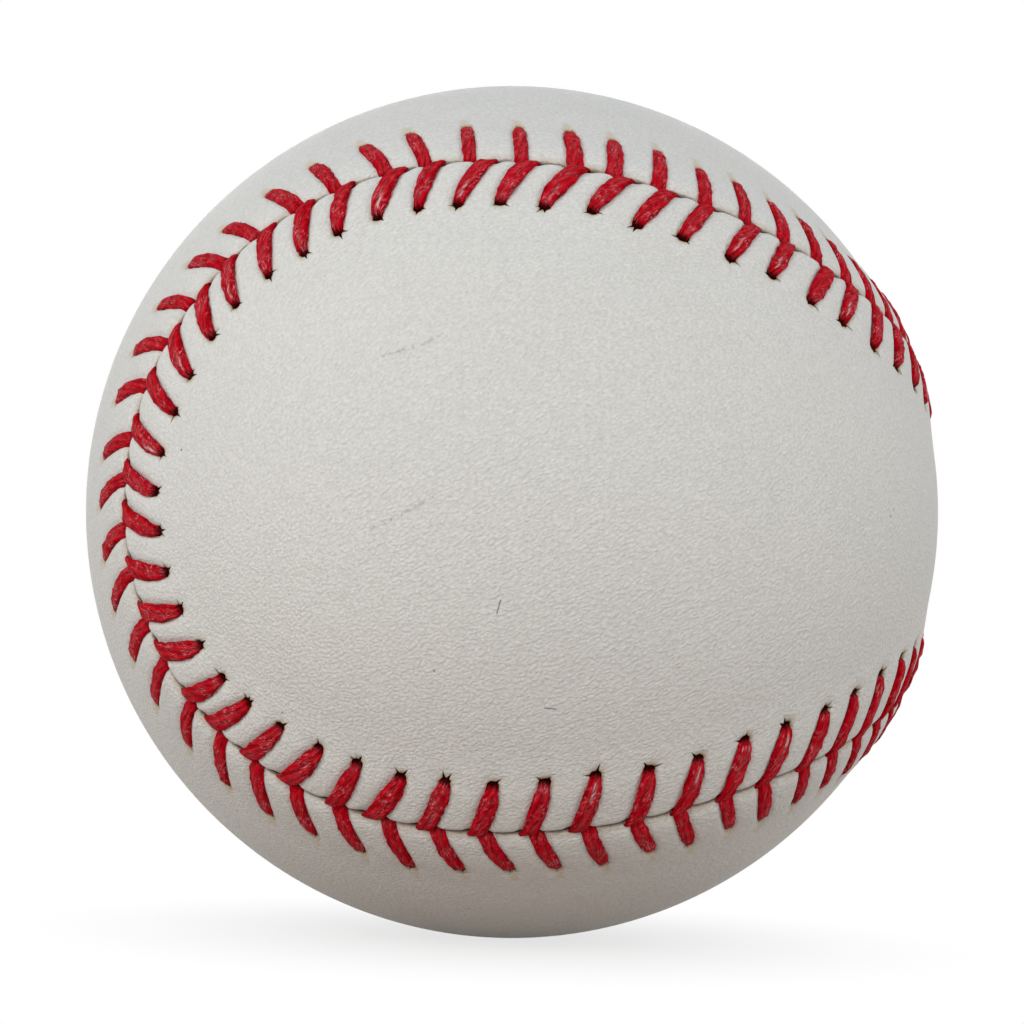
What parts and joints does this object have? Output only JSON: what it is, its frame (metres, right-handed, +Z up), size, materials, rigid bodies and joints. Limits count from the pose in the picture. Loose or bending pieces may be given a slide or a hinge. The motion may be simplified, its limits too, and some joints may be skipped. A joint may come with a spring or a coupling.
{
  "type": "baseball",
  "caption": "Round leather-covered ball with a raised laced seam over wound yarn and a cushioned cork centre, for throwing, catching and batting.",
  "frame": {"origin": "centre of the ball", "axes": "+X through the front panel's waist, the axis about which the seam repeats; +Z up as pictured; the pictured side is -Y"},
  "size_m": [0.0742, 0.0738, 0.0738],
  "materials": {
    "cork": "composition cork, granular",
    "black_rubber": "moulded rubber, matt",
    "red_rubber": "moulded rubber, matt",
    "grey_wool": "tightly wound wool yarn",
    "white_wool": "tightly wound wool yarn",
    "finishing_yarn": "fine wound yarn",
    "adhesive": "dried adhesive film, slightly tacky",
    "cover_leather": "off-white full-grain leather, low gloss, very fine grain",
    "waxed_thread": "waxed multi-strand thread, slight sheen"
  },
  "bodies": {
    "root": {"cork_core": "cork", "black_rubber_upper": "black_rubber", "black_rubber_lower": "black_rubber", "centre_gasket": "red_rubber", "red_rubber_layer": "red_rubber", "grey_wool_winding": "grey_wool", "white_wool_winding": "white_wool", "outer_grey_wool_winding": "grey_wool", "finishing_yarn_winding": "finishing_yarn", "adhesive_coat": "adhesive", "front_panel": "cover_leather", "back_panel": "cover_leather", "first_lacing": "waxed_thread", "second_lacing": "waxed_thread"}
  },
  "joints": []
}
